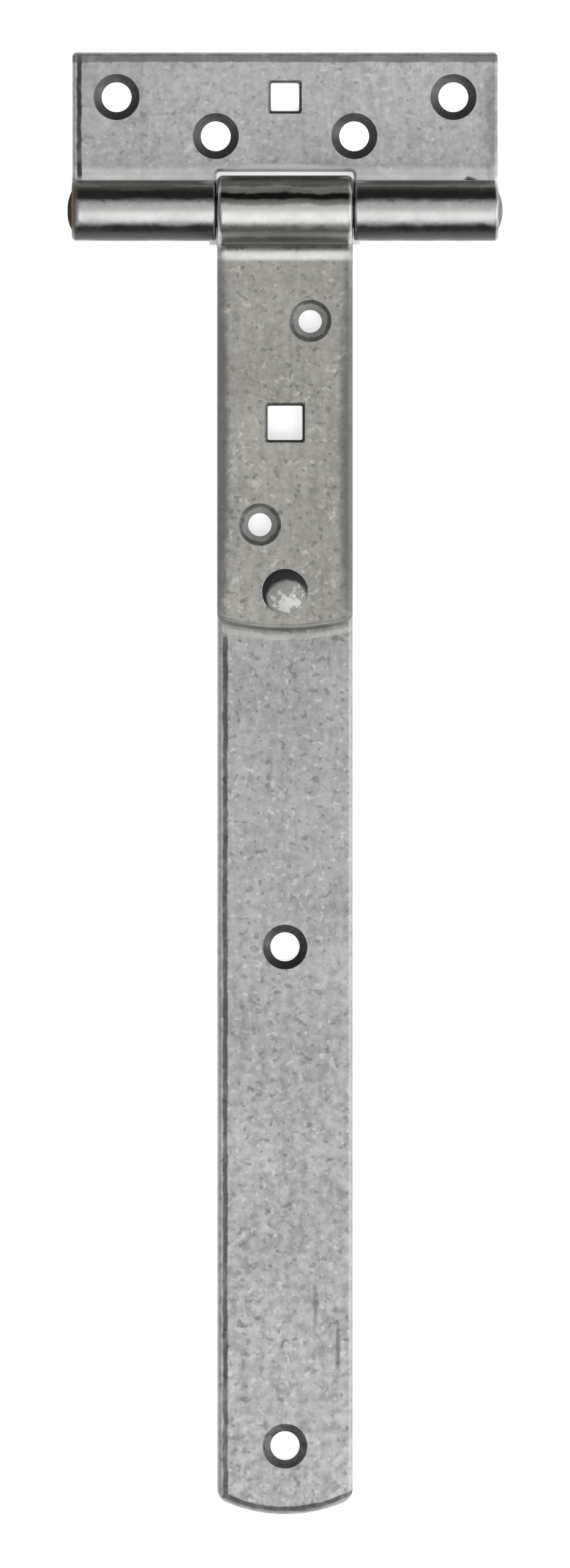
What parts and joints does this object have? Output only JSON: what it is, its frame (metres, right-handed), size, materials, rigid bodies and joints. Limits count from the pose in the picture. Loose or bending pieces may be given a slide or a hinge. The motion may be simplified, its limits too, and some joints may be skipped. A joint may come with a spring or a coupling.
{
  "type": "tee hinge",
  "caption": "Heavy tee hinge: a short wide leaf and a long strap rolled round one pin, with countersunk screw holes, square bolt holes and a riveted double layer on the strap.",
  "frame": {"origin": "in the plane of the flat backs, straight behind the middle of the pin", "axes": "+X along the pin, +Y up the leaf and away from the strap, +Z out of the front; the hinge lies on its back"},
  "size_m": [0.1002, 0.3367, 0.0164],
  "materials": {
    "zinc_sheet": "satin",
    "zinc_bar": "satin",
    "pin_steel": "satin",
    "rivet_steel": "satin"
  },
  "bodies": {
    "leaf": {"leaf": "zinc_sheet", "pin": "pin_steel"},
    "strap": {"strap": "zinc_bar", "rivet": "rivet_steel"}
  },
  "joints": [
    {"name": "strap_swing", "type": "hinge", "parent": "leaf", "child": "strap", "pos_m": [0, 0, 0.0083], "axis": [-1, 0, 0], "range_deg": [-90, 180]}
  ]
}
